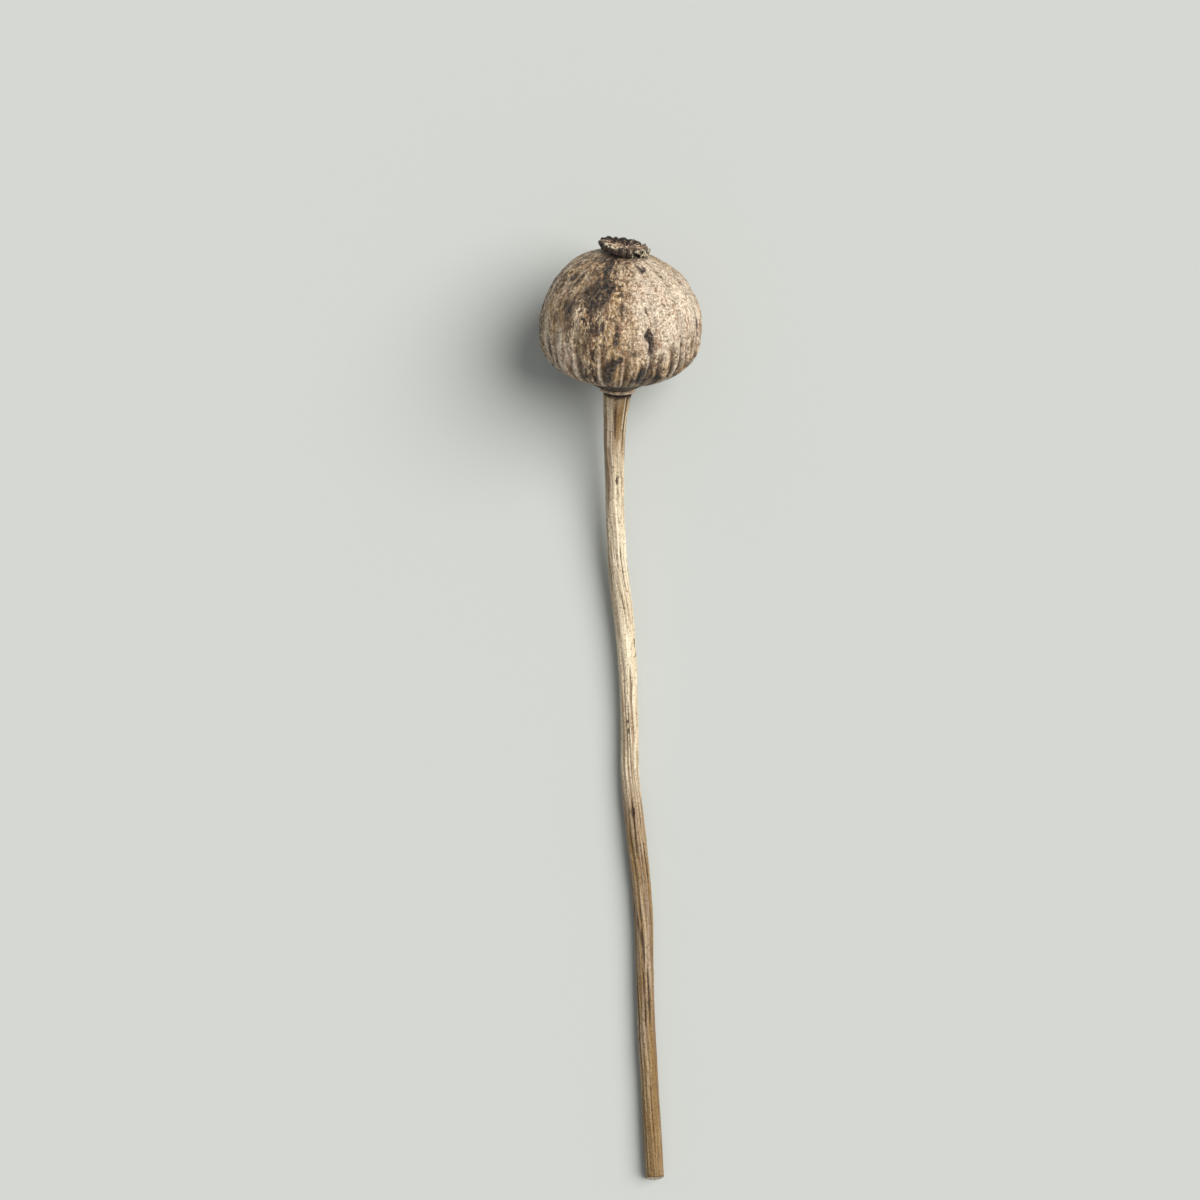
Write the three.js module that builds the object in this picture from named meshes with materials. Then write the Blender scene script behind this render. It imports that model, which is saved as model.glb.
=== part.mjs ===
// A dried poppy seed head on its cut stem, lying on its side as it comes to rest on a table.
// Millimetres, +Z up. The head lies towards +Y and the cut end of the stem towards -Y. The origin is
// under the middle of the part's bounding box, on the surface that the part rests on.
//
// Four organs meet end to end: the stem, the receptacle that the petals dropped from, the swollen
// capsule, and the rayed stigma crown on its top. Each is turned as a lathe shape about its own axis,
// and then every point of it is moved by a formula: lobes and grooves, a scalloped rim, or the bend
// of the stem.
import * as THREE from "three";

// Driving dimensions of the capsule.
const CAPSULE_RADIUS = 27.8; // at its widest ring
const CAPSULE_BELLY = 21.2; // height of the widest ring over the base
const CAPSULE_DOME = 27.2; // from the widest ring up to the top
const BELLY_POWER = 2.6; // over 2, so the underside is boxier than an ellipse
const DOME_POWER = 2.1;
const FUNNEL = 1.8; // how far the underside is drawn down to the receptacle
const DOME_LEAN = 0.07; // slope of the dome's top, down towards +X
const LOBES = 17; // carpels: one lobe of the capsule and one ray of the crown each
const GROOVE_AT_BASE = 1.3;
const GROOVE_AT_DOME = 0.22;

// The receptacle, the crown and the small gaps that keep neighbouring solids apart.
const RECEPTACLE_RADIUS = 5.7;
const RECEPTACLE_HEIGHT = 1.8;
const CROWN_RADIUS = 9.3;
const CROWN_CREST = 1.6; // height of the ring where its edge turns down
const CROWN_LEAN = THREE.MathUtils.degToRad(6.4); // down towards +X
const CROWN_DROOP = 0.35;
const CROWN_SHIFT = 0.5; // towards +X
const JOINT_GAP = 0.3;

// How the head sits on the stem.
const HEAD_TILT = THREE.MathUtils.degToRad(21.5); // crown raised off the table
const HEAD_LEAN = THREE.MathUtils.degToRad(-2.4); // crown turned towards +X
const NECK_HEIGHT = 19; // of the stem's top over the table

// The stem: its plan as seen from above, as [across, along] from the neck, and its thickness.
const STEM_PLAN = [
  [0, 0],
  [-0.6, -6],
  [-1.0, -22],
  [-0.8, -38],
  [-0.1, -57],
  [1.5, -71],
  [3.1, -86],
  [4.0, -102],
  [4.4, -121],
  [4.6, -137],
  [6.0, -149],
  [7.5, -163],
  [8.9, -177],
  [9.5, -191],
  [9.9, -210],
  [10.6, -229],
  [11.7, -248],
  [13.3, -276],
];
const STEM_GIRTH = [
  // [share of the length, radius]
  [0, 4.8],
  [0.02, 4.2],
  [0.04, 3.65],
  [0.1, 3.25],
  [0.14, 3.05],
  [0.28, 3.3],
  [0.44, 2.95],
  [0.59, 3.3],
  [0.7, 2.95],
  [0.82, 2.85],
  [1, 3.1],
];
const STEM_STEPS = 56;
const STEM_SIDES = 16;
const STEM_FLUTES = 5;
const FLUTE_DEPTH = 0.16;
const FLUTE_TWIST = THREE.MathUtils.degToRad(200); // over the whole length
const CUT_SLANT = Math.tan(THREE.MathUtils.degToRad(28));

const { clamp, degToRad, smoothstep } = THREE.MathUtils;

function material(color, roughness) {
  return new THREE.MeshStandardMaterial({ color, roughness, metalness: 0 });
}

// A lathe about +Y whose points are then moved. place takes a point's angle round the axis, measured
// from +Z towards +X, its radius and its height, and returns where the point goes.
function moulded(outline, segments, place) {
  const geometry = new THREE.LatheGeometry(outline, segments);
  const position = geometry.getAttribute("position");
  for (let i = 0; i < position.count; i++) {
    const x = position.getX(i);
    const z = position.getZ(i);
    const moved = place(Math.atan2(x, z), Math.hypot(x, z), position.getY(i));
    position.setXYZ(i, moved.x, moved.y, moved.z);
  }
  geometry.computeVertexNormals();
  return geometry;
}

function polar(angle, radius, height) {
  return new THREE.Vector3(radius * Math.sin(angle), height, radius * Math.cos(angle));
}

// 0 in the bottom of a groove between two lobes and 1 on a lobe's crest. The lobes are not quite even.
function lobeAt(angle) {
  const uneven = 0.16 * Math.sin(2 * angle + 0.7) + 0.1 * Math.sin(5 * angle);
  const turn = (LOBES * angle) / (2 * Math.PI) + uneven - 0.3;
  return Math.pow(Math.abs(Math.sin(Math.PI * turn)), 0.55);
}

// Points of a superellipse arc from angle from to angle to, in degrees over the widest ring.
function arc(from, to, steps, height, power) {
  const points = [];
  for (let i = 0; i <= steps; i++) {
    const a = degToRad(THREE.MathUtils.lerp(from, to, i / steps));
    const out = CAPSULE_RADIUS * Math.pow(Math.cos(a), 2 / power);
    const up = height * Math.sign(a) * Math.pow(Math.abs(Math.sin(a)), 2 / power);
    points.push(new THREE.Vector2(out, CAPSULE_BELLY + up));
  }
  return points;
}

function capsuleGeometry() {
  const belly = arc(-88.6, 0, 12, CAPSULE_BELLY - FUNNEL, BELLY_POWER);
  const dome = arc(0, 84, 11, CAPSULE_DOME, DOME_POWER);
  const outline = [
    new THREE.Vector2(0, belly[0].y),
    ...belly,
    ...dome.slice(1),
    new THREE.Vector2(0, dome.at(-1).y),
  ];
  return moulded(outline, 6 * LOBES, (angle, radius, height) => {
    const rise = smoothstep(height, 2, CAPSULE_BELLY + 4);
    const depth = THREE.MathUtils.lerp(GROOVE_AT_BASE, GROOVE_AT_DOME, rise);
    const near = clamp(radius / CAPSULE_RADIUS, 0, 1); // grooves run out towards the axis
    const groove = depth * near * (1 - lobeAt(angle));
    const funnel = height < CAPSULE_BELLY ? FUNNEL * (1 - smoothstep(radius, 4, 14)) : 0;
    const high = smoothstep(height, CAPSULE_BELLY + 0.4 * CAPSULE_DOME, CAPSULE_BELLY + CAPSULE_DOME);
    const point = polar(angle, radius - groove, height - funnel);
    point.y -= DOME_LEAN * high * point.x;
    return point;
  });
}

function receptacleGeometry() {
  const outline = [
    [0, 0],
    [4.5, 0],
    [5.3, 0.35],
    [RECEPTACLE_RADIUS, 0.9],
    [5.4, 1.45],
    [4.9, RECEPTACLE_HEIGHT],
    [0, RECEPTACLE_HEIGHT],
  ].map(([r, h]) => new THREE.Vector2(r, h));
  return moulded(outline, 32, (angle, radius, height) => polar(angle, radius, height));
}

// A cap on a short foot, its edge turned down and scalloped between the rays.
function crownGeometry() {
  const outline = [
    [0, 0],
    [3, 0],
    [4.6, 0.3],
    [6.8, 0.55],
    [8.4, 0.3],
    [9.1, -0.05],
    [CROWN_RADIUS, 0.35],
    [8.9, CROWN_CREST - 0.6],
    [8, CROWN_CREST - 0.05],
    [7, CROWN_CREST],
    [5, CROWN_CREST - 0.4],
    [2.6, CROWN_CREST - 0.6],
    [0, CROWN_CREST - 0.3],
  ].map(([r, h]) => new THREE.Vector2(r, h));
  return moulded(outline, 6 * LOBES, (angle, radius, height) => {
    const out = smoothstep(radius, 3, CROWN_RADIUS);
    const ray = Math.abs(Math.sin((LOBES * angle) / 2));
    const scallop = 1 - 0.09 * out * (1 - ray);
    const fold = 0.4 * out * (ray - 0.5);
    const droop = CROWN_DROOP * out * Math.sin(angle); // the +X side of the edge hangs lower
    return polar(angle, radius * scallop, height + fold - droop);
  });
}

// The stem runs down from the neck: in plan as STEM_PLAN says, and in height falling with the slope
// of the head and levelling out until it lies on the table.
function stemRoute() {
  const [, farAlong] = STEM_PLAN.at(-1);
  const endHeight = STEM_GIRTH.at(-1)[1];
  const drop = NECK_HEIGHT - endHeight;
  const levelling = drop / Math.tan(HEAD_TILT);
  const settled = 1 - Math.exp(farAlong / levelling);
  return new THREE.CatmullRomCurve3(
    STEM_PLAN.map(([across, along]) => {
      const fallen = (1 - Math.exp(along / levelling)) / settled;
      return new THREE.Vector3(across, along, -drop * fallen);
    }),
    false,
    "centripetal",
  );
}

function stemRadius(share) {
  const next = STEM_GIRTH.findIndex(([s]) => s >= share);
  if (next <= 0) return STEM_GIRTH[0][1];
  const [s0, r0] = STEM_GIRTH[next - 1];
  const [s1, r1] = STEM_GIRTH[next];
  return THREE.MathUtils.lerp(r0, r1, smoothstep(share, s0, s1));
}

function stemGeometry() {
  const route = stemRoute();
  const length = route.getLength();
  const outline = [new THREE.Vector2(0, 0)];
  for (let i = 0; i <= STEM_STEPS; i++) {
    const share = i / STEM_STEPS;
    outline.push(new THREE.Vector2(stemRadius(share), share * length));
  }
  outline.push(new THREE.Vector2(0, length));
  return moulded(outline, STEM_SIDES, (angle, radius, height) => {
    const share = clamp(height / length, 0, 1);
    const flute = FLUTE_DEPTH * Math.sin(STEM_FLUTES * angle + FLUTE_TWIST * share);
    const r = radius > 0 ? radius + flute : 0;
    // Axes of the cross-section: side lies level, and rise stands over it.
    const centre = route.getPointAt(share);
    const ahead = route.getTangentAt(share);
    const side = new THREE.Vector3().crossVectors(ahead, new THREE.Vector3(0, 0, 1)).normalize();
    const rise = new THREE.Vector3().crossVectors(side, ahead);
    const slant = share === 1 ? CUT_SLANT * r * Math.cos(angle) : 0;
    return centre
      .addScaledVector(side, r * Math.sin(angle))
      .addScaledVector(rise, r * Math.cos(angle))
      .addScaledVector(ahead, -slant);
  });
}

function part(name, geometry, look) {
  const mesh = new THREE.Mesh(geometry, look);
  mesh.name = name;
  return mesh;
}

const capsuleSkin = material(0xb59d80, 0.75);
const crownSkin = material(0x78664f, 0.85);
const receptacleSkin = material(0x8a7355, 0.8);
const stemSkin = material(0xb9a07a, 0.6);

// The head is built along +Y from the neck up, and is then tilted and leaned as one.
const receptacle = part("receptacle", receptacleGeometry(), receptacleSkin);
receptacle.position.y = JOINT_GAP;
const capsule = part("capsule", capsuleGeometry(), capsuleSkin);
capsule.position.y = receptacle.position.y + RECEPTACLE_HEIGHT + JOINT_GAP;
const crown = part("stigma_crown", crownGeometry(), crownSkin);
crown.position.set(CROWN_SHIFT, capsule.position.y + CAPSULE_BELLY + CAPSULE_DOME + JOINT_GAP, 0);
crown.rotation.z = -CROWN_LEAN;

const head = new THREE.Group();
head.add(receptacle, capsule, crown);
head.rotation.set(HEAD_TILT, 0, HEAD_LEAN);

const poppy = new THREE.Group();
poppy.add(head, part("stem", stemGeometry(), stemSkin));

// Set the origin under the middle of the bounding box, on the table.
const extent = new THREE.Box3().setFromObject(poppy, true);
const middle = extent.getCenter(new THREE.Vector3());
const model = new THREE.Group();
poppy.position.set(-middle.x, -middle.y, -extent.min.z);
model.add(poppy);

export default model;
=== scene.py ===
# The looks of a dried poppy seed head, lying on a pale floor: a lobed capsule with a rayed stigma
# crown, the corky receptacle under it and a long crooked stem. Metres, +Z up, in the part's frame.
#
# Each piece is spun from an outline about +Y, and then its points are moved by a formula that gives
# it lobes, folds, flutes and wrinkles. Every point keeps its place on the grain of the skin in an
# attribute, so that streaks follow the piece, and the masks that stains, wear, painted shade and
# painted highlights are drawn with.
from math import atan2, ceil, cos, exp, floor, hypot, pi, radians, sin

import bmesh
import bpy
from mathutils import Matrix, Vector, noise


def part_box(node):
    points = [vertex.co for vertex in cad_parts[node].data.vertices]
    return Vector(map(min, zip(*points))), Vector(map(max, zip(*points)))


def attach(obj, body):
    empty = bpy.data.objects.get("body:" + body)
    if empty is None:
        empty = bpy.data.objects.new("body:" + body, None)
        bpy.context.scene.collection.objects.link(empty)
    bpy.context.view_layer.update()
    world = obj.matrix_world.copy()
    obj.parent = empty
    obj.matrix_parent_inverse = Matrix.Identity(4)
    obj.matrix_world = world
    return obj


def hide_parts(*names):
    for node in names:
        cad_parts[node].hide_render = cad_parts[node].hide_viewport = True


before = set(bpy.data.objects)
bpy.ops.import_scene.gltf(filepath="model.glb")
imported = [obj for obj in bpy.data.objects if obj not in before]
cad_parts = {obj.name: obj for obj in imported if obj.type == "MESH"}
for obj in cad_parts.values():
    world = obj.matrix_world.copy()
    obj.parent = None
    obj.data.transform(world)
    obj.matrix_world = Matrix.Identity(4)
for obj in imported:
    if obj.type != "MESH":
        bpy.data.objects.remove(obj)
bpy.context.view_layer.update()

MM = 0.001
BODY = "root"

# The capsule, as the part is made but with deeper grooves. Heights are over its base, and angles are
# round its axis from the side that faces up towards the side that faces +X.
CAPSULE_RADIUS = 27.8 * MM
CAPSULE_BELLY = 21.2 * MM
CAPSULE_DOME = 27.2 * MM
CAPSULE_HEIGHT = CAPSULE_BELLY + CAPSULE_DOME
BELLY_POWER = 2.6
DOME_POWER = 2.1
FUNNEL = 1.8 * MM
DOME_LEAN = 0.07
LOBES = 17
GROOVE_AT_BASE = 2.5 * MM
GROOVE_AT_DOME = 0.5 * MM

RECEPTACLE_HEIGHT = 1.8 * MM
CROWN_RADIUS = 9.3 * MM
CROWN_LEAN = radians(6.4)  # down towards +X
CROWN_SHIFT = 0.5 * MM  # towards +X
JOINT_GAP = 0.3 * MM  # between neighbouring nodes
CLEAR_OF_TABLE = 0.02 * MM

HEAD_TILT = radians(21.5)  # crown raised off the table
HEAD_LEAN = radians(-2.4)  # crown turned towards +X


def smoothstep(value, low, high):
    t = min(1.0, max(0.0, (value - low) / (high - low)))
    return t * t * (3 - 2 * t)


def mix(a, b, share):
    return a + (b - a) * share


def polar(angle, radius, height):
    return Vector((radius * sin(angle), height, radius * cos(angle)))


def ripple(angle, height, across, along, seed=0.0):
    """Smooth noise from -1 to 1 that closes round a piece. across is its wavelength on the capsule's
    widest ring, and along is its wavelength in height."""
    around = CAPSULE_RADIUS / across
    return noise.noise((around * sin(angle), height / along + seed, around * cos(angle)))


# ---------------------------------------------------------------- making a piece


def spun(name, outline, steps):
    """A bmesh spun about +Y from an outline of (radius, height) points."""
    bm = bmesh.new()
    points = [bm.verts.new((0, h, r)) for r, h in outline]
    edges = [bm.edges.new(pair) for pair in zip(points, points[1:])]
    bmesh.ops.spin(
        bm,
        geom=points + edges,
        cent=(0, 0, 0),
        axis=(0, 1, 0),
        dvec=(0, 0, 0),
        angle=2 * pi,
        steps=steps,
        use_merge=True,
        use_duplicate=False,
    )
    bmesh.ops.remove_doubles(bm, verts=bm.verts, dist=1e-6)
    bmesh.ops.recalc_face_normals(bm, faces=bm.faces)
    return bm


def mould(bm, place, masks=()):
    """Moves every point. place(angle, radius, height) returns where it goes, its grain coordinates
    and the value of each mask; grain and masks are kept as attributes for the material."""
    grain = bm.verts.layers.float_vector.new("grain")
    layers = [bm.verts.layers.float.new(mask) for mask in masks]
    for vert in bm.verts:
        x, y, z = vert.co
        where, along_grain, values = place(atan2(x, z), hypot(x, z), y)
        vert.co = where
        vert[grain] = along_grain
        for layer, value in zip(layers, values):
            vert[layer] = value


def finished(name, bm, matrix, material, slot, *nodes):
    """Turns a bmesh into a piece that stands for CAD nodes. Where it rests on the table its skin is
    pressed flat."""
    bmesh.ops.transform(bm, matrix=matrix, verts=bm.verts)
    for vert in bm.verts:
        vert.co.z = max(vert.co.z, CLEAR_OF_TABLE)
    mesh = bpy.data.meshes.new(name)
    bm.to_mesh(mesh)
    bm.free()
    mesh.polygons.foreach_set("use_smooth", [True] * len(mesh.polygons))
    piece = bpy.data.objects.new(name, mesh)
    bpy.context.scene.collection.objects.link(piece)
    mesh.materials.append(material)
    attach(piece, BODY)
    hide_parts(*nodes)
    return piece


# ---------------------------------------------------------------- where the head sits


def head_matrix():
    """From a frame whose +Y runs up the head from the foot of the receptacle to the row frame."""
    low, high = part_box("receptacle")
    turned = Matrix.Rotation(HEAD_TILT, 4, "X") @ Matrix.Rotation(HEAD_LEAN, 4, "Z")
    foot = (low + high) / 2 - turned @ Vector((0, RECEPTACLE_HEIGHT / 2, 0))
    return Matrix.Translation(foot) @ turned


HEAD = head_matrix()
CAPSULE_BASE = RECEPTACLE_HEIGHT + JOINT_GAP
CROWN_BASE = CAPSULE_BASE + CAPSULE_HEIGHT + JOINT_GAP


# ---------------------------------------------------------------- capsule

STEPS_PER_LOBE = 24
STEPS_UNDER, STEPS_OVER = 90, 100  # in the outline, below and above the widest ring

# Depths and heights of the relief on the skin.
DENT = 0.75 * MM
WRINKLE = 0.35 * MM
FINE_WRINKLE = 0.22 * MM
CRINKLE = 0.16 * MM
PLEAT_SHADED, PLEAT_SUNNY = 0.85, 1.2  # in millimetres, on the -X and the +X side
RIB = 0.95 * MM
RIB_AT = 0.88  # share of the way across a lobe
RIB_WIDTH = 0.055
TUCK_IN = 1.3 * MM  # of the underside, towards +X
LIFT = 1.1 * MM  # of the underside, outside the funnel
LIT_SIDE = radians(45)  # the middle of the side painted pale, as sun bleaching and painted light


def lobe_turn(angle):
    """How many lobes round the capsule an angle is. The lobes are not quite even."""
    uneven = 0.16 * sin(2 * angle + 0.7) + 0.1 * sin(5 * angle)
    return LOBES * angle / (2 * pi) + uneven - 0.3


def capsule_outline(steps_below, steps_above):
    points = []
    for i in range(steps_below + steps_above + 1):
        if i <= steps_below:
            a = radians(mix(-88.6, 0, i / steps_below))
            height, power = CAPSULE_BELLY - FUNNEL, BELLY_POWER
        else:
            a = radians(mix(0, 84, (i - steps_below) / steps_above))
            height, power = CAPSULE_DOME, DOME_POWER
        rise = height * (1 if a > 0 else -1) * abs(sin(a)) ** (2 / power)
        points.append((CAPSULE_RADIUS * cos(a) ** (2 / power), CAPSULE_BELLY + rise))
    low, high = points[0], points[-1]
    inner = [(low[0] * t, low[1]) for t in (0, 0.35, 0.7)]
    outer = [(high[0] * t, high[1]) for t in (0.6, 0.3, 0)]
    return inner + points + outer


# Stains that damp left on the skin: (angle in degrees, height, half width, half length, strength),
# with sizes in millimetres.
STAINS = [
    (-27, 39.4, 3.5, 2.3, 1.05),
    (-17, 39.2, 2.6, 2.8, 1.15),
    (-22, 36.4, 3.0, 2.7, 1.15),
    (-33, 37.4, 1.8, 1.6, 0.7),
    (-12, 40.6, 1.4, 1.8, 0.8),
    (-22, 46.0, 1.6, 1.9, 1.15),
    (-32, 46.9, 1.4, 1.0, 0.8),
    (-20, 43.4, 1.1, 1.8, 0.75),
    (-44, 47.2, 1.6, 0.8, 0.8),
    (-50, 44.4, 1.0, 1.3, 0.75),
    (-66, 38.6, 0.9, 1.8, 0.75),
    (-36, 43.6, 0.9, 1.0, 0.7),
    (-70, 43.8, 1.2, 1.0, 0.75),
    (-84, 41.0, 0.9, 1.8, 0.7),
    (-56, 46.6, 0.9, 0.8, 0.6),
    (-80, 45.2, 0.8, 0.7, 0.85),
    (-48, 39.8, 0.8, 1.2, 0.75),
    (-74, 39.8, 0.8, 1.6, 0.8),
    (-62, 45.0, 0.7, 0.8, 0.85),
    (-41, 45.3, 0.7, 0.7, 0.7),
    (27, 45.7, 1.7, 0.9, 0.9),
    (-58, 41.0, 1.0, 1.2, 0.9),
    (-46, 41.5, 1.0, 1.2, 0.7),
    (-43, 31.5, 1.7, 4.6, 0.8),
    (-50, 33.5, 1.3, 3.6, 0.65),
    (-57, 28.5, 1.0, 3.0, 0.55),
    (-61, 17.0, 1.4, 4.0, 0.8),
    (-22, 26.3, 1.4, 2.6, 0.8),
    (-26, 22.0, 1.0, 3.4, 0.5),
    (-3, 27.0, 1.0, 2.6, 1.2),
    (-4, 23.8, 0.7, 2.2, 0.9),
    (19, 26.4, 1.2, 1.6, 1.4),
    (21, 23.0, 0.9, 3.4, 1.3),
    (-1, 17.4, 1.2, 1.6, 1.1),
    (-6, 15.3, 1.7, 2.4, 1.3),
    (-10, 11.5, 1.3, 3.6, 1.2),
    (17, 12.3, 1.2, 3.2, 1.4),
    (14, 9.0, 2.6, 1.4, 1.0),
    (31, 9.5, 1.8, 2.6, 1.1),
    (9, 20.0, 1.0, 2.2, 0.6),
    (-1, 34.6, 1.2, 4.4, 0.45),
    (19, 34.0, 0.7, 1.8, 0.6),
    (70, 27.0, 1.3, 4.0, 0.6),
    (48, 20.5, 0.7, 3.0, 0.6),
    (-98, 33.0, 2.2, 3.0, 0.9),
    (-92, 28.0, 1.2, 5.0, 0.7),
    (-104, 25.0, 0.9, 3.5, 0.6),
    (-128, 12.0, 1.6, 3.0, 1.0),
    (-120, 9.0, 2.4, 1.6, 0.8),
    (-152, 40.0, 2.6, 2.2, 0.9),
    (-146, 37.0, 1.4, 3.2, 0.8),
    (-158, 36.0, 1.0, 2.0, 0.7),
    (176, 20.0, 0.9, 6.0, 0.9),
    (170, 13.0, 1.5, 2.6, 0.9),
    (148, 10.0, 2.0, 2.6, 1.0),
    (131, 33.0, 1.0, 5.0, 0.8),
    (126, 38.0, 1.6, 1.6, 0.9),
    (104, 15.0, 1.0, 4.0, 0.9),
    (112, 9.0, 1.8, 1.8, 0.8),
]

# Where the skin has stayed golden, in the same form.
GOLDEN_PATCHES = [
    (-6, 21.0, 5.0, 7.0, 1.0),
    (-2, 14.0, 5.0, 4.0, 0.8),
    (-30, 22.0, 4.0, 6.0, 0.9),
    (11, 20.0, 3.6, 5.5, 0.9),
    (6, 30.0, 3.4, 4.0, 0.75),
    (26, 16.0, 2.2, 4.0, 0.6),
    (-8, 36.0, 2.6, 5.0, 0.7),
    (-2, 27.0, 4.0, 5.0, 0.7),
    (-38, 41.0, 3.5, 4.0, 0.7),
    (-62, 43.0, 3.0, 2.8, 0.7),
    (-44, 46.2, 2.2, 1.4, 0.6),
    (-66, 32.0, 4.0, 7.0, 0.8),
    (84, 28.0, 3.0, 7.0, 0.6),
    (-110, 20.0, 6.0, 8.0, 0.9),
    (-140, 30.0, 7.0, 9.0, 0.9),
    (165, 36.0, 7.0, 8.0, 0.8),
    (130, 18.0, 6.0, 8.0, 0.9),
]

# Where it has weathered to a pale cream, in the same form.
PALE_PATCHES = [
    (-52, 13.0, 4.4, 6.0, 0.9),
    (-66, 21.0, 2.2, 7.5, 0.8),
    (-36, 14.0, 1.8, 5.5, 0.8),
    (-44, 18.0, 4.2, 6.0, 0.8),
    (-34, 27.5, 1.3, 4.5, 0.6),
    (-78, 33.0, 2.4, 7.0, 0.7),
    (-48, 22.0, 1.2, 6.5, 0.7),
    (-36, 33.2, 2.4, 1.6, 0.4),
    (-54, 38.0, 1.6, 2.2, 0.4),
    (-52, 42.6, 1.1, 1.0, 0.75),
    (-67, 44.4, 0.9, 0.8, 0.75),
    (-77, 42.2, 0.8, 1.4, 0.7),
    (-42, 41.8, 0.8, 1.0, 0.65),
    (-61, 39.4, 0.8, 1.6, 0.65),
    (-92, 43.6, 0.9, 1.0, 0.6),
    (-125, 26.0, 3.0, 7.0, 0.5),
    (-160, 16.0, 3.0, 6.0, 0.5),
    (150, 26.0, 3.4, 8.0, 0.5),
    (115, 30.0, 3.0, 6.0, 0.4),
]


def spot_sum(spots_and_shadow, angle, radius, height):
    """How strongly a list of spots covers a place. Each fades out from its middle."""
    total = 0.0
    for degrees, at, wide, tall, strength in spots_and_shadow:
        along = (height - at * MM) / (tall * MM)
        if abs(along) < 2.4:
            turn = (angle - radians(degrees) + pi) % (2 * pi) - pi
            across = turn * radius / (wide * MM)
            reach = across * across + along * along
            if reach < 6:
                total += strength * exp(-reach)
    return total


def stain_at(angle, radius, height):
    """Stains, pulled out of round as damp spreads."""
    drift = 0.9 * MM * ripple(angle, height, 2.6 * MM, 3.4 * MM, 31.0)
    wander = 1.6 * MM * ripple(angle, height, 2.2 * MM, 3.0 * MM, 37.0)
    return min(1.6, spot_sum(STAINS, angle + drift / CAPSULE_RADIUS, radius, height + wander))


def bleach_and_light_at(angle, height):
    """1 high up towards +X, on the side that the light falls on, and 0 on the far side: sun bleaching
    and painted light.
    """
    turned = cos(angle - LIT_SIDE)
    high = 1 - ((height - 34 * MM) / (22 * MM)) ** 2
    patchy = 0.3 * ripple(angle, height, 6 * MM, 9 * MM, 51.0)
    return smoothstep(turned + 0.4 * high + patchy, 0.84, 1.38)


def pleat_at(turn, angle, height):
    """Strength of the fine pleats, three to a lobe, that gather the skin towards its base."""
    third = 3 * turn + 0.6 * ripple(angle, height, 6 * MM, 12 * MM, 61.0)
    reach = mix(23, 30, smoothstep(sin(angle), 0.2, 0.7)) * MM
    low = 1 - smoothstep(height, 9 * MM, reach)
    return low * (1 - abs(sin(pi * third))) ** 1.3


def capsule_folds(angle, height):
    """Depths of the groove and the pleat at a place, the strength of its rib, and the strength of the
    painted shade in its groove and pleats.
    """
    wave = 0.05 * ripple(angle, height, 9 * MM, 9 * MM, 17.0)
    turn = lobe_turn(angle) + wave
    lobe = abs(sin(pi * turn)) ** 0.55
    dome = smoothstep(height, 3 * MM, CAPSULE_BELLY + 6 * MM)
    unlike = 1 + 0.55 * noise.noise((floor(turn) * 3.7, height / (14 * MM), 5.0))
    groove = mix(GROOVE_AT_BASE, GROOVE_AT_DOME, dome) * unlike * (1 - lobe)
    pleat = pleat_at(turn, angle, height)
    # A narrow rib stands just before each groove, and fades out up the dome.
    beside = turn - floor(turn) - RIB_AT
    rib = exp(-((beside / RIB_WIDTH) ** 2)) * (1 - 0.75 * dome) * max(0.35, unlike)
    sunny = smoothstep(sin(angle), 0.1, 0.6)
    # Painted shade for the groove and the pleats, stronger on the +X side.
    shaded = (1 - lobe) * (1 - 0.55 * dome) + mix(0.55, 1.3, sunny) * pleat
    groove_shade = mix(0.78, 1.0, sunny) * min(1.0, shaded)
    return groove, mix(PLEAT_SHADED, PLEAT_SUNNY, sunny) * MM * pleat, rib, groove_shade


def grime_and_shade_at(angle, radius, height):
    """Dark round the foot and round the crown, and at the turn of the underside, where it is
    strongest on the side that faces up: painted shade where the parts meet and under the crown, with
    some dirt."""
    grime_and_shade = 0.0
    if height < CAPSULE_BELLY:
        grime_and_shade = 1.8 * (1 - smoothstep(radius, 6 * MM, 15.5 * MM))
    elif height > CAPSULE_BELLY:
        grime_and_shade = 0.8 * (1 - smoothstep(radius, 7 * MM, 13 * MM))
    upward = smoothstep(cos(angle), 0.8, 0.97)
    return grime_and_shade + mix(0.5, 1.25, upward) * (1 - smoothstep(height, 1.5 * MM, 6.5 * MM))


def capsule_masks(angle, radius, height):
    """Strength of the stains, of the dirt and painted shade round the foot and the crown, of the pale
    weathering, bleaching and painted light, and of the golden patches at a place.
    """
    wander = 0.06 * ripple(angle, height, 5 * MM, 6 * MM, 71.0)
    gold = min(1.0, spot_sum(GOLDEN_PATCHES, angle + wander, radius, height))
    moved = angle + 0.05 * ripple(angle, height, 3 * MM, 7 * MM, 77.0)
    # Sun bleaching and painted light on the side that the light falls on, less on golden patches.
    bleached_and_lit = bleach_and_light_at(angle, height) * (1 - 0.55 * gold)
    pale_and_lit = min(1.0, bleached_and_lit + spot_sum(PALE_PATCHES, moved, radius, height))
    return stain_at(angle, radius, height), grime_and_shade_at(angle, radius, height), pale_and_lit, gold


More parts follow.
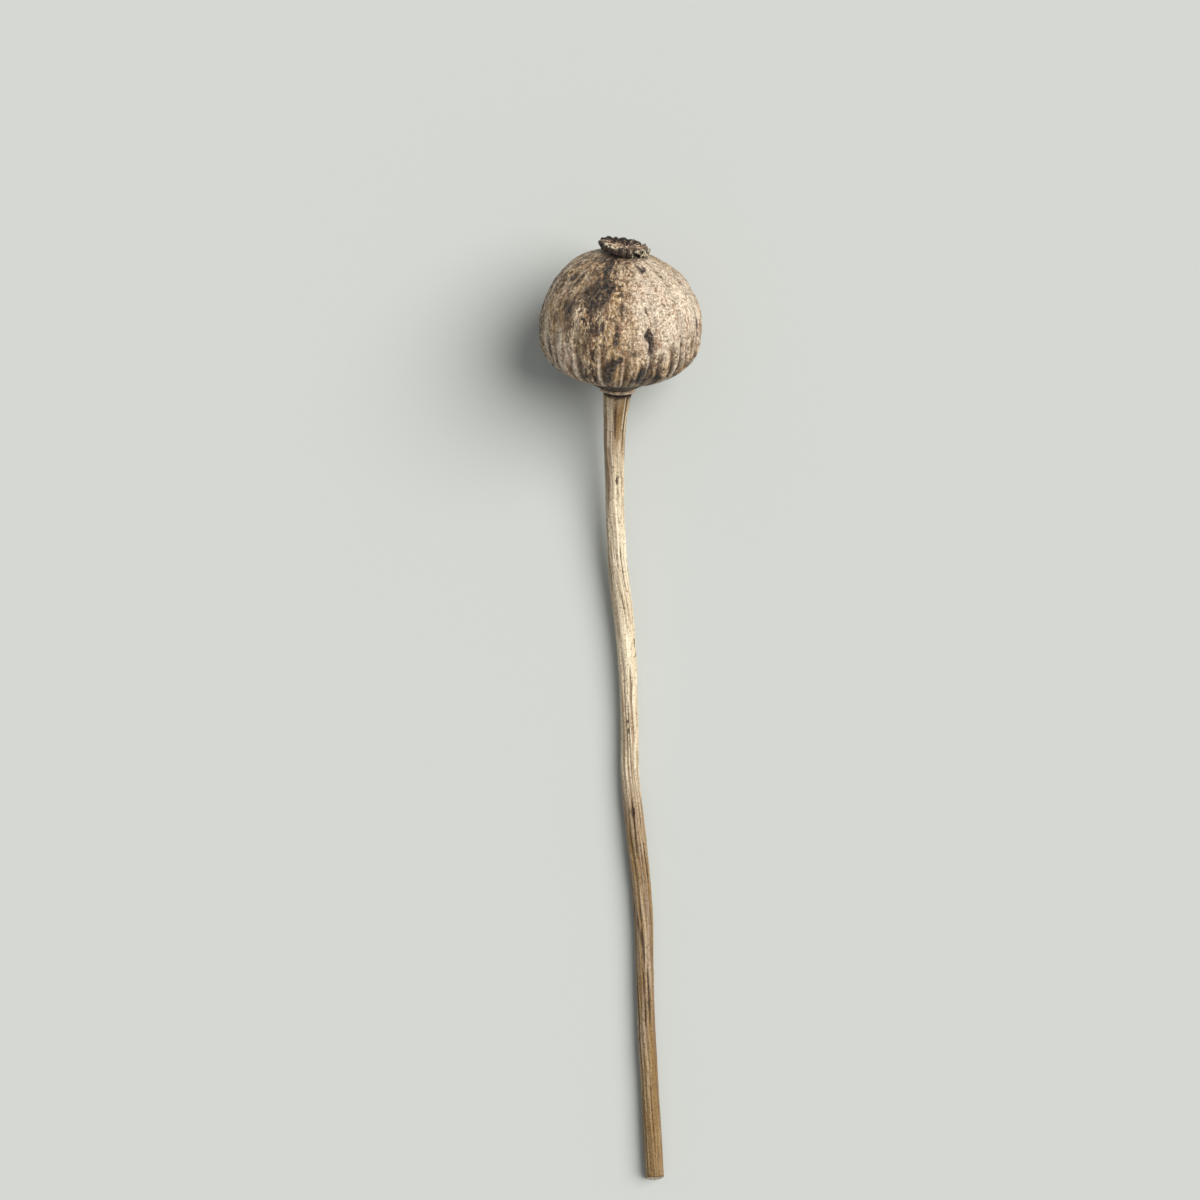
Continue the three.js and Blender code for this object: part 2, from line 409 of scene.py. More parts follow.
def capsule_point(angle, radius, height):
    near = min(1.0, radius / CAPSULE_RADIUS)
    groove, pleat, rib, groove_shade = capsule_folds(angle, height)
    # Dry skin: broad dents, long wrinkles that run up the lobes, and a fine crinkle.
    dents = DENT * ripple(angle, height, 8 * MM, 11 * MM, 1.0)
    wrinkles = WRINKLE * ripple(angle, height, 2.6 * MM, 12 * MM, 4.0)
    wrinkles += FINE_WRINKLE * ripple(angle, height, 1.2 * MM, 4 * MM, 9.0)
    crinkle = CRINKLE * ripple(angle, height, 1.0 * MM, 1.3 * MM, 13.0)
    relief = near * (dents + wrinkles + crinkle - groove - pleat + RIB * rib)
    low = 1 - smoothstep(height, 5 * MM, 17 * MM)
    relief -= TUCK_IN * low * max(0.0, sin(angle))
    under = height < CAPSULE_BELLY
    funnel = FUNNEL * (1 - smoothstep(radius, 4 * MM, 14 * MM)) if under else 0.0
    lift = LIFT * smoothstep(radius, 8 * MM, 16 * MM) * (1 - smoothstep(height, 2 * MM, 11 * MM))
    place = polar(angle, radius + relief, height - funnel + lift)
    high = smoothstep(height, CAPSULE_BELLY + 0.4 * CAPSULE_DOME, CAPSULE_HEIGHT)
    place.y -= DOME_LEAN * high * place.x
    # Streaks run up the sides, and break up into mottles over the dome.
    spread = radius if height > CAPSULE_BELLY else CAPSULE_RADIUS
    grain = (spread * sin(angle), spread * cos(angle), height)
    return place, grain, (groove_shade, rib, *capsule_masks(angle, radius, height))


def make_capsule(material):
    bm = spun("capsule", capsule_outline(STEPS_UNDER, STEPS_OVER), STEPS_PER_LOBE * LOBES)
    mould(bm, capsule_point, ("groove_shade", "rib", "stain", "grime_and_shade", "pale_and_lit", "gold"))
    matrix = HEAD @ Matrix.Translation((0, CAPSULE_BASE, 0))
    return finished("capsule_skin", bm, matrix, material, "capsule_skin", "capsule")


# ---------------------------------------------------------------- stigma crown

CROWN_UNDER = [
    (0, -0.5),
    (3.0, -0.5),
    (3.6, 0.1),
    (5.2, 0.45),
    (7.0, 0.55),
    (8.4, 0.5),
    (9.2, 0.5),
]
CROWN_OVER = [
    (9.3, 0.65),
    (9.15, 0.85),
    (8.4, 0.95),
    (7.0, 1.0),
    (5.2, 0.85),
    (3.2, 0.75),
    (1.6, 0.8),
    (0, 0.9),
]
OUTLINE_STEP = 0.2  # in millimetres, as the outlines are

RAY_WIDTH = 0.17 * MM
RAY_HEIGHT = 0.5 * MM  # and the depth of the valleys between rays
CREASE_AT = 0.27  # share of a lobe, either side of its ray
CREASE_WIDTH = 0.13 * MM
FRONT_DROP = 1.5  # in millimetres, of the edge on the side that faces up
BACK_DROP = -0.35


def fine(outline, step):
    """The outline with every stretch cut into steps, in metres."""
    points = []
    for (r0, h0), (r1, h1) in zip(outline, outline[1:]):
        count = max(1, ceil(hypot(r1 - r0, h1 - h0) / step))
        points += [(mix(r0, r1, i / count), mix(h0, h1, i / count)) for i in range(count)]
    points.append(outline[-1])
    return [(r * MM, h * MM) for r, h in points]


def ray_relief(off, radius, own, turned, right):
    """Height of the ray and depth of the valley at a place. Each ray has a fine crease on either
    side, and runs together with the others in the middle."""
    width = 2 * pi * radius / LOBES
    ridge = exp(-((off * width / RAY_WIDTH) ** 2)) * smoothstep(radius, 0.6 * MM, 2 * MM)
    crease = exp(-(((abs(off) - CREASE_AT) * width / CREASE_WIDTH) ** 2))
    crease *= smoothstep(radius, 3.5 * MM, 5 * MM)
    ridge = ridge * (1 + 0.5 * own) + 0.45 * crease + 1 - smoothstep(radius, 0.2 * MM, 0.8 * MM)
    ridge *= 1 - 0.7 * turned
    valley = abs(2 * off) ** 2 * smoothstep(radius, 1.0 * MM, 3.6 * MM)
    valley *= 1 - 0.5 * turned * (1 - right)
    return ridge, valley


def crown_wear(angle, out, over, front, right):
    """Strength of the torn edge's paleness, of the painted highlight on the lip, and of the painted
    shade under the edge and on the far rim.
    """
    pale = right * front * smoothstep(out, 0.55, 0.9)
    left = smoothstep(sin(angle), 0.1, -0.5)
    # The lip is a painted highlight.
    lip = front * left * exp(-(((out - 0.80) / 0.055) ** 2)) * over
    skirt = 0.5 * front * (1 - right) * smoothstep(out, 0.84, 0.93)
    return pale, lip, max((1 - front) * smoothstep(out, 0.55, 0.8), skirt)


def crown_point(angle, radius, height):
    """A shallow bowl with a raised ray down the middle of each lobe. Its edge turns down on the side
    that faces up, stays up on the far side, and is curled and torn towards +X."""
    turn = LOBES * angle / (2 * pi) + 0.16 * sin(3 * angle + 1) + 0.3
    lobe = floor(turn + 0.5)
    off = turn - lobe  # -0.5 to 0.5 across a lobe, 0 on its ray
    lobe %= LOBES
    own = noise.noise((lobe * 2.31, 0.5, 7.0))
    other = noise.noise((lobe * 1.73, 4.5, 2.0))
    out = radius / CROWN_RADIUS
    over = smoothstep(height, 0.45 * MM, 0.7 * MM)
    front = smoothstep(cos(angle), -0.35, 0.5)
    right = smoothstep(sin(angle + 0.3), 0.2, 0.8)
    reach = smoothstep(out, 0.5, 1)
    turned = smoothstep(out, 0.74, 1.02) ** 1.5
    ridge, valley = ray_relief(off, radius, own, turned, right)
    # Fine dark lines run out from the middle.
    lines = noise.noise((11 * sin(angle), 11 * cos(angle), radius / (4 * MM)))
    dark_lines = smoothstep(lines, 0.02, 0.3) * smoothstep(radius, 0.8 * MM, 2.2 * MM) * over
    nick = 1 - 0.07 * reach * abs(2 * off) ** 2.2 + 0.09 * reach * own
    drop = turned * MM * mix(BACK_DROP, FRONT_DROP, front) * (1 + 0.4 * own)
    drop += turned * right * MM * (0.2 + 3.4 * other)
    bowl = MM * (0.85 * smoothstep(out, 0.1, 0.8) - 0.3 * right * reach)
    shrink = 1 - 0.14 * turned * right * (1 + 1.5 * other) - 0.07 * turned * front
    torn = right * smoothstep(out, 0.45, 0.8)
    crumple = 0.35 * MM * ripple(angle, height, 4 * MM, 1 * MM, radius / (1.2 * MM)) * reach
    crumple += 0.7 * MM * torn * ripple(angle, height, 2.0 * MM, 1 * MM, radius / (1.0 * MM) + 50)
    lift = RAY_HEIGHT * ridge * over - RAY_HEIGHT * valley * (1 + 1.4 * torn) + bowl - drop + crumple
    spot = polar(angle + 0.12 * reach * other, radius * nick * shrink, height + lift)
    grain = (radius * sin(angle), radius * cos(angle), height)
    wear = crown_wear(angle, out, over, front, right)
    return spot, grain, (ridge * over, max(valley, 0.5 * dark_lines), *wear)


def make_crown(material):
    outline = fine(CROWN_UNDER + CROWN_OVER, OUTLINE_STEP)
    bm = spun("crown", outline, STEPS_PER_LOBE * LOBES)
    mould(bm, crown_point, ("ridge", "valley", "pale", "lip", "shade"))
    moved = Matrix.Translation((CROWN_SHIFT, CROWN_BASE, 0))
    matrix = HEAD @ moved @ Matrix.Rotation(-CROWN_LEAN, 4, "Z")
    return finished("stigma_crown_rays", bm, matrix, material, "crown_skin", "stigma_crown")


# ---------------------------------------------------------------- receptacle

RECEPTACLE_OUTLINE = [
    (0, -0.3),
    (4.7, -0.3),
    (4.75, 0.1),
    (4.85, 0.7),
    (5.7, 0.95),
    (6.1, 1.25),
    (6.05, 1.6),
    (5.6, 1.95),
    (5.1, 2.15),
    (5.0, 2.6),
    (0, 2.6),
]
STAMEN_SCARS = 46
COLLAR_STEP = 0.16  # in millimetres


def receptacle_point(angle, radius, height):
    outer = smoothstep(radius, 4.0 * MM, 5.4 * MM)
    scars = 0.12 * MM * outer * sin(STAMEN_SCARS * angle + 1.5 * sin(3 * angle))
    rough = 0.3 * MM * outer * ripple(angle, height, 5 * MM, 1.2 * MM, 21.0)
    place = polar(angle, radius + scars + rough, height)
    grain = (radius * sin(angle), radius * cos(angle), height)
    return place, grain, (height / RECEPTACLE_HEIGHT,)


def make_receptacle(material):
    bm = spun("receptacle", fine(RECEPTACLE_OUTLINE, COLLAR_STEP), 6 * STAMEN_SCARS)
    mould(bm, receptacle_point, ("rise",))
    return finished("receptacle_collar", bm, HEAD, material, "receptacle_skin", "receptacle")


# ---------------------------------------------------------------- stem

STEM_SLICES = 26
ROUTE_POINTS = 200
STEM_STEPS = 620
STEM_SIDES = 96
FLUTE_ANGLES = [radians(a) for a in (0, 36, 80, 112, 168, 212, 262, 312)]
FLUTE_DEPTH = 0.4 * MM
FLUTE_WIDTH = 0.32 * MM
LIP_AT = 0.75 * MM  # from the middle of a flute
PITH_DEPTH = 0.7 * MM
AT_THE_CUT = 0.9999  # share of the length
CUT_SLANT = 0.53

# Along the stem, by share of its length: how far the flutes have twisted in degrees, how pale the
# straw is, and how dark the grooves are.
TWIST = [(0, 0), (0.06, 0), (0.13, -16), (0.33, -44), (0.54, -74), (0.7, -98), (1, -122)]
PALENESS = [
    (0, 0.3),
    (0.08, 0.42),
    (0.14, 0.75),
    (0.22, 1.05),
    (0.32, 1.1),
    (0.48, 0.6),
    (0.54, -0.05),
    (0.7, -0.1),
    (0.8, -0.15),
    (1, -0.2),
]
GROOVE_DARKNESS = [
    (0, 1.0),
    (0.06, 1.0),
    (0.1, 0.55),
    (0.2, 0.7),
    (0.31, 0.75),
    (0.35, 0.25),
    (0.5, 0.3),
    (0.54, 1.0),
    (0.61, 0.9),
    (0.64, 0.5),
    (0.68, 1.0),
    (0.78, 1.0),
    (0.83, 0.15),
    (1, 0.2),
]

# Scars and spots on the stem, as for the capsule, with heights from its top down.
STEM_SPOTS = [
    (3, 6.0, 0.5, 4.5, 0.7),
    (-1, 13.0, 0.45, 4.0, 0.6),
    (0, 148.0, 0.6, 2.0, 1.0),
    (6, 160.0, 0.35, 5.0, 0.9),
    (-20, 163.0, 0.3, 6.0, 0.9),
    (66, 182.0, 0.55, 3.5, 0.8),
    (40, 187.0, 0.5, 3.5, 0.8),
    (17, 192.0, 0.5, 4.0, 0.8),
    (6, 198.0, 0.4, 4.5, 0.8),
    (-60, 88.5, 0.6, 1.8, 1.0),
    (-70, 93.0, 0.5, 1.0, 0.8),
    (12, 116.0, 0.4, 0.8, 1.0),
    (8, 119.5, 0.4, 1.2, 1.0),
    (-14, 31.0, 0.5, 1.6, 0.9),
    (9, 209.0, 0.3, 5.0, 0.9),
    (-16, 214.0, 0.28, 6.0, 0.9),
    (170, 60.0, 0.7, 3.0, 0.9),
    (140, 128.0, 0.6, 4.0, 0.9),
    (-150, 190.0, 0.7, 5.0, 0.9),
    (120, 232.0, 0.5, 3.0, 0.8),
]


def along_list(pairs, share):
    """The value at a share of the length from a list of (share, value), eased between them."""
    for (s0, v0), (s1, v1) in zip(pairs, pairs[1:]):
        if share <= s1:
            return mix(v0, v1, smoothstep(share, s0, s1))
    return pairs[-1][1]


def stem_slices():
    """Centre and radius of the CAD stem where even steps along Y cut it, from the neck down."""
    low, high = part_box("stem")
    slices = []
    for i in range(STEM_SLICES):
        y = mix(high.y - 3 * MM, low.y + 4.5 * MM, i / (STEM_SLICES - 1))
        cut = bmesh.new()
        cut.from_mesh(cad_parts["stem"].data)
        whole = cut.verts[:] + cut.edges[:] + cut.faces[:]
        found = bmesh.ops.bisect_plane(cut, geom=whole, plane_co=(0, y, 0), plane_no=(0, 1, 0))
        ring = [g.co.copy() for g in found["geom_cut"] if isinstance(g, bmesh.types.BMVert)]
        cut.free()
        centre = sum(ring, Vector()) / len(ring)
        xs = [p.x for p in ring]
        slices.append((centre, (max(xs) - min(xs)) / 2))
    return slices


def catmull_rom(values, share):
    """A smooth curve through evenly spaced values, at a share of its length."""
    spot = share * (len(values) - 1)
    i = min(int(spot), len(values) - 2)
    t = spot - i
    a, b, c, d = (values[min(max(k, 0), len(values) - 1)] for k in (i - 1, i, i + 1, i + 2))
    squared = (2 * a - 5 * b + 4 * c - d) * t * t
    cubed = (3 * b - a - 3 * c + d) * t**3
    return 0.5 * (2 * b + (c - a) * t + squared + cubed)


class Route:
    """The stem's centre line, from its top in the receptacle to its cut end."""

    def __init__(self):
        slices = stem_slices()
        centres = [centre for centre, _ in slices]
        self.radii = [radius for _, radius in slices]
        top = HEAD @ Vector((0, -0.1 * MM, 0))
        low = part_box("stem")[0]
        last, before = centres[-1], centres[-2]
        end = last + (last - before) * ((last.y - low.y - 1.5 * MM) / (before.y - last.y))
        shares = [i / (ROUTE_POINTS - 1) for i in range(ROUTE_POINTS)]
        line = [top] + [catmull_rom(centres, share) for share in shares] + [end]
        self.points = [line[0]]
        self.at = [0.0]  # how far along the line each point is
        for point in line[1:]:
            self.at.append(self.at[-1] + (point - self.points[-1]).length)
            self.points.append(point)
        self.length = self.at[-1]

    def place(self, share):
        """Point and direction at a share of the length."""
        want = share * self.length
        i = next((k for k, at in enumerate(self.at) if at >= want), len(self.at) - 1)
        i = min(max(i, 1), len(self.at) - 1)
        t = (want - self.at[i - 1]) / (self.at[i] - self.at[i - 1])
        point = self.points[i - 1].lerp(self.points[i], t)
        low, high = self.points[max(i - 4, 0)], self.points[min(i + 3, len(self.points) - 1)]
        return point, (high - low).normalized()


def stem_mould(route):
    frames = {}

    def section(share):
        key = round(share * STEM_STEPS)
        if key not in frames:
            centre, ahead = route.place(share)
            side = ahead.cross(Vector((0, 0, 1))).normalized()
            schedule = [along_list(pairs, share) for pairs in (TWIST, PALENESS, GROOVE_DARKNESS)]
            girth = catmull_rom(route.radii, share)
            frames[key] = centre, ahead, side, side.cross(ahead), girth, schedule
        return frames[key]

    def place(angle, radius, height):
        share = min(1.0, max(0.0, height / route.length))
        along = share * route.length
        centre, ahead, side, rise, girth, (twist, pale, darkness) = section(share)
        turn = angle - radians(twist) + 0.05 * sin(along / (11 * MM)) + 0.03 * sin(along / (3.7 * MM))
        turns = [(turn - flute + pi) % (2 * pi) - pi for flute in FLUTE_ANGLES]
        nearest = min(range(len(turns)), key=lambda k: abs(turns[k]))
        off = turns[nearest] * girth  # distance from the nearest groove
        own = noise.noise((nearest * 3.3, along / (24 * MM), 6.0))
        groove = exp(-((off / FLUTE_WIDTH) ** 2)) * min(1.0, max(0.0, 0.55 + 1.7 * own))
        lip = exp(-(((abs(off) - LIP_AT) / FLUTE_WIDTH) ** 2))
        lip *= min(1.0, max(0.0, 0.6 + 1.2 * own))
        around = girth / (0.8 * MM)
        lines = noise.noise((around * sin(turn) * 1.6, along / (22 * MM), around * cos(turn) * 1.6))
        knots = noise.noise((around * sin(turn), along / (5 * MM) + 7, around * cos(turn)))
        swell = noise.noise((0.3, along / (15 * MM), 4.0))
        thick = girth * (1 + 0.03 * swell) - FLUTE_DEPTH * groove + 0.4 * FLUTE_DEPTH * lip
        thick += 0.15 * MM * lines + 0.07 * MM * knots + 0.12 * MM
        r = thick * radius
        at_cut = share > AT_THE_CUT
        slant = CUT_SLANT * r * cos(angle) if at_cut else 0.0
        pith = PITH_DEPTH * (1 - smoothstep(radius, 0.3, 0.86)) if at_cut else 0.0
        spot = centre + side * (r * sin(angle)) + rise * (r * cos(angle)) - ahead * (slant + pith)
        grain = (3 * MM * sin(turn) * radius, 3 * MM * cos(turn) * radius, along)
        cut = 1 - smoothstep(radius, 0.78, 0.95) if at_cut else 0.0
        spots_and_shadow = spot_sum(STEM_SPOTS, angle, girth, along)
        spots_and_shadow += 0.7 * (1 - smoothstep(along, 0, 2.0 * MM))  # painted shadow: the dark line under the collar
        return spot, grain, (min(1.0, groove) * darkness, lip, pale, spots_and_shadow, cut)

    return place


def make_stem(material):
    route = Route()
    inner = (0, 0.3, 0.6, 0.85)
    outline = [(r, 0) for r in inner]
    outline += [(1, route.length * i / STEM_STEPS) for i in range(STEM_STEPS + 1)]
    outline += [(r, route.length) for r in reversed(inner)]
    bm = spun("stem", outline, STEM_SIDES)
    mould(bm, stem_mould(route), ("groove", "lip", "pale", "spots_and_shadow", "cut"))
    return finished("stem_stalk", bm, Matrix.Identity(4), material, "stem_skin", "stem")


# ---------------------------------------------------------------- materials


class Nodes:
    """Adds nodes to a tree and links them."""

    def __init__(self, tree):
        self.tree = tree

    def add(self, kind, *inputs, named=None, **settings):
        """A node with its inputs filled in order, and those in named by name. Other words are its
        settings."""
        node = self.tree.nodes.new(kind)
        for name, value in settings.items():
            setattr(node, name, value)
        for socket, value in zip(node.inputs, inputs):
            self.fill(socket, value)
        for name, value in (named or {}).items():
            self.fill(node.inputs[name], value)
        return node

    def fill(self, socket, value):
        """Links a socket to a node's or a socket's output, or sets its value. None leaves it."""
        if value is None:
            return
        if isinstance(value, bpy.types.NodeSocket):
            self.tree.links.new(value, socket)
        elif isinstance(value, bpy.types.Node):
            self.tree.links.new(value.outputs[0], socket)
        else:
            socket.default_value = value

    def attribute(self, name, output="Fac"):
        return self.add("ShaderNodeAttribute", attribute_name=name).outputs[output]

    def math(self, operation, a, b=None):
        return self.add("ShaderNodeMath", a, b, operation=operation).outputs[0]

    def blend(self, share, first, second):
        """Colour first where share is 0 and second where it is 1."""
        node = self.tree.nodes.new("ShaderNodeMix")
        node.data_type = "RGBA"
        self.fill(node.inputs["Factor"], share)
        self.fill(node.inputs[6], first)
        self.fill(node.inputs[7], second)
        return node.outputs[2]

    def eased(self, value, low, high, most=1.0):
        """0 at low and most at high, eased between them."""
        named = {"Value": value, "From Min": low, "From Max": high, "To Max": most}
        node = self.add("ShaderNodeMapRange", named=named, interpolation_type="SMOOTHSTEP")
        return node.outputs["Result"]

    def mask_group(self, group, values):
        """The mask that a node group gives for a dictionary of inputs."""
        node = self.tree.nodes.new("ShaderNodeGroup")
        node.node_tree = group
        for name, value in values.items():
            self.fill(node.inputs[name], value)
        return node.outputs["Mask"]

    def patches(self, vector, across, along, low, high, offset=0.0):
        """Noise patches, as patch_group says."""
        values = {"Vector": vector, "Across": across, "Along": along}
        values.update({"Low": low, "High": high, "Offset": offset})
        return self.mask_group(patch_group(), values)

    def specks(self, vector, scale, size):
        """Small round specks, most of them a good way apart."""
        cells = self.add("ShaderNodeTexVoronoi", named={"Vector": vector, "Scale": scale})
        thin = self.patches(vector, scale * 0.35, scale * 0.35, 0.45, 0.6, 81)
        small = self.math("MULTIPLY", thin, size)
        reach = self.math("DIVIDE", cells.outputs["Distance"], self.math("ADD", small, 0.02))
        mask = self.add("ShaderNodeMapRange", named={"Value": reach, "From Min": 1.1, "From Max": 0.7})
        return mask.outputs["Result"]

    def ragged(self, vector, mask, scale, low, high, most):
        """A soft mask with its edge broken up by noise, as patches of wear or damp are."""
        values = {"Vector": vector, "Mask": mask, "Scale": scale}
        values.update({"Low": low, "High": high, "Most": most})
        return self.mask_group(ragged_group(), values)


def ragged_group():
    """Breaks a smooth mask up with noise, and turns it from 0 to Most between Low and High."""
    name = "ragged_edge"
    if name in bpy.data.node_groups:
        return bpy.data.node_groups[name]
    tree = bpy.data.node_groups.new(name, "ShaderNodeTree")
    tree.interface.new_socket("Vector", in_out="INPUT", socket_type="NodeSocketVector")
    for socket in ("Mask", "Scale", "Low", "High", "Most"):
        tree.interface.new_socket(socket, in_out="INPUT", socket_type="NodeSocketFloat")
    tree.interface.new_socket("Mask", in_out="OUTPUT", socket_type="NodeSocketFloat")
    nodes = Nodes(tree)
    given = tree.nodes.new("NodeGroupInput").outputs
    fine_scale = nodes.math("MULTIPLY", given["Scale"], 3.1)
    swings = []
    for scale, reach in ((given["Scale"], 2.6), (fine_scale, 1.8)):
        noisy = {"Vector": given["Vector"], "Scale": scale, "Detail": 5.0, "Roughness": 0.7}
        cloud = nodes.add("ShaderNodeTexNoise", named=noisy)
        swings.append(nodes.math("MULTIPLY", nodes.math("SUBTRACT", cloud, 0.5), reach))
    # The noise only bites where there is some mask.
    swing = nodes.math("ADD", nodes.math("ADD", swings[0], swings[1]), 1.0)
    body = nodes.math("MULTIPLY", given["Mask"], swing)
    mask = nodes.eased(body, given["Low"], given["High"], given["Most"])
    tree.links.new(mask, tree.nodes.new("NodeGroupOutput").inputs["Mask"])
    return tree


def patch_group():
    """Noise patches as a mask from 0 to 1. Across and Along are patches per metre over and along the
    grain, and the noise turns from 0 to 1 between Low and High."""
    name = "dry_skin_patches"
    if name in bpy.data.node_groups:
        return bpy.data.node_groups[name]
    tree = bpy.data.node_groups.new(name, "ShaderNodeTree")
    tree.interface.new_socket("Vector", in_out="INPUT", socket_type="NodeSocketVector")
    for socket in ("Across", "Along", "Low", "High", "Offset"):
        tree.interface.new_socket(socket, in_out="INPUT", socket_type="NodeSocketFloat")
    tree.interface.new_socket("Mask", in_out="OUTPUT", socket_type="NodeSocketFloat")
    nodes = Nodes(tree)
    given = tree.nodes.new("NodeGroupInput").outputs
    stretch = nodes.add("ShaderNodeCombineXYZ", given["Across"], given["Across"], given["Along"])
    stretched = nodes.add("ShaderNodeVectorMath", given["Vector"], stretch, operation="MULTIPLY")
    moved = nodes.add("ShaderNodeVectorMath", stretched, given["Offset"], operation="ADD")
    noisy = {"Vector": moved, "Scale": 1.0, "Detail": 4.0, "Roughness": 0.6}
    cloud = nodes.add("ShaderNodeTexNoise", named=noisy)
    mask = nodes.eased(cloud, given["Low"], given["High"])
    tree.links.new(mask, tree.nodes.new("NodeGroupOutput").inputs["Mask"])
    return tree


def new_material(name):
    material = bpy.data.materials.new(name)
    material.use_nodes = True
    tree = material.node_tree
    tree.nodes.clear()
    return material, Nodes(tree)


def surface(nodes, colour, roughness, height, bump, specular):
    """The shader, with a bump as deep as bump from a height value."""
    relief = nodes.add("ShaderNodeBump", named={"Strength": 1.0, "Distance": bump, "Height": height})
    named = {"Base Color": colour, "Roughness": roughness, "Normal": relief}
    named["Specular IOR Level"] = specular
    shader = nodes.add("ShaderNodeBsdfPrincipled", named=named)
    output = nodes.tree.nodes.new("ShaderNodeOutputMaterial")
    nodes.tree.links.new(shader.outputs[0], output.inputs["Surface"])


# Colours that more than one layer of the capsule's skin has.
CREAM = (0.86, 0.65, 0.415, 1)
PALEST_CREAM = (0.99, 0.815, 0.63, 1)
BROWN = (0.15, 0.075, 0.034, 1)
DARK = (0.048, 0.026, 0.015, 1)


def capsule_ground(n, grain, pale_and_lit, gold):
    """Tan skin mottled with cream, its golden patches, and its pale side: weathered patches, and sun
    bleaching with painted light high up towards +X.
    """
    golden, honey, tan = (0.46, 0.27, 0.10, 1), (0.76, 0.50, 0.235, 1), (0.59, 0.39, 0.205, 1)
    colour = n.blend(n.patches(grain, 110, 70, 0.46, 0.56), golden, tan)
    drift = n.patches(grain, 130, 60, 0.42, 0.58, 19)
    mottle = n.math("MULTIPLY", n.patches(grain, 290, 130, 0.46, 0.57, 11), n.math("ADD", drift, 0.3))
    colour = n.blend(n.math("MULTIPLY", mottle, 0.85), colour, CREAM)
    colour = n.blend(gold, colour, n.blend(n.patches(grain, 420, 200, 0.42, 0.58, 83), golden, honey))
    # The pale side: weathered patches, sun bleaching and painted light.
    return n.blend(n.math("MULTIPLY", pale_and_lit, 0.9), colour, PALEST_CREAM)


def capsule_flecks(n, colour, grain, pale_and_lit, gold):
    """Haze, rusty streaks, and blots and flecks in crowds. The dark ones are thin where the skin is
    pale, bleached and painted lit.
    """
    haze, rust = (0.37, 0.285, 0.205, 1), (0.44, 0.23, 0.115, 1)
    shaded = n.math("SUBTRACT", 1.0, n.math("MULTIPLY", pale_and_lit, 0.85))
    calm = n.math("SUBTRACT", 1.0, n.math("MULTIPLY", gold, 0.5))
    crowd = n.patches(grain, 105, 50, 0.42, 0.58, 67)
    crowded = n.math("MULTIPLY", calm, n.math("ADD", 0.5, n.math("MULTIPLY", crowd, 0.65)))
    veil = n.math("MULTIPLY", n.patches(grain, 100, 55, 0.48, 0.60, 23), 0.5)
    veil = n.math("MULTIPLY", veil, calm)
    colour = n.blend(n.math("MULTIPLY", veil, shaded), colour, haze)
    streaks = n.math("MULTIPLY", n.patches(grain, 380, 110, 0.50, 0.59, 91), 0.7)
    colour = n.blend(streaks, colour, rust)
    blots = n.math("MULTIPLY", n.patches(grain, 380, 170, 0.485, 0.58, 37), crowded)
    colour = n.blend(n.math("MULTIPLY", blots, shaded), colour, BROWN)
    pale_flecks = n.math("MULTIPLY", n.patches(grain, 950, 420, 0.49, 0.56, 53), 0.88)
    colour = n.blend(pale_flecks, colour, n.blend(pale_and_lit, CREAM, PALEST_CREAM))
    flecks = n.math("MULTIPLY", n.patches(grain, 900, 450, 0.50, 0.57, 61), crowded)
    return n.blend(n.math("MULTIPLY", flecks, shaded), colour, DARK)


def capsule_damp(n, colour, place):
    """Damp leaves a brown halo on the stains, and a darker core with a mouldy bloom on it. The same
    halo and core round the foot, the crown and the underside's turn are painted shade with some dirt.
    """
    halo, core, bloom = (0.125, 0.07, 0.038, 1), (0.013, 0.008, 0.006, 1), (0.12, 0.089, 0.071, 1)
    stain, grime_and_shade = n.attribute("stain"), n.attribute("grime_and_shade")
    # Halo round the foot and the crown: painted shade with some dirt.
    colour = n.blend(n.ragged(place, grime_and_shade, 300, 0.35, 1.2, 0.8), colour, halo)
    colour = n.blend(n.ragged(place, stain, 260, 0.08, 0.55, 0.7), colour, halo)
    thin = n.patches(place, 600, 600, 0.35, 0.51, 47)
    damp = n.blend(n.patches(place, 800, 800, 0.49, 0.60, 57), core, bloom)
    stained = n.ragged(place, stain, 420, 0.3, 0.8, 0.97)
    colour = n.blend(n.math("MULTIPLY", stained, thin), colour, damp)
    # Dark core round the foot and the crown: painted shade with some dirt.
    grimy_and_shaded = n.ragged(place, grime_and_shade, 420, 0.6, 1.3, 0.95)
    return n.blend(n.math("MULTIPLY", grimy_and_shaded, thin), colour, damp)


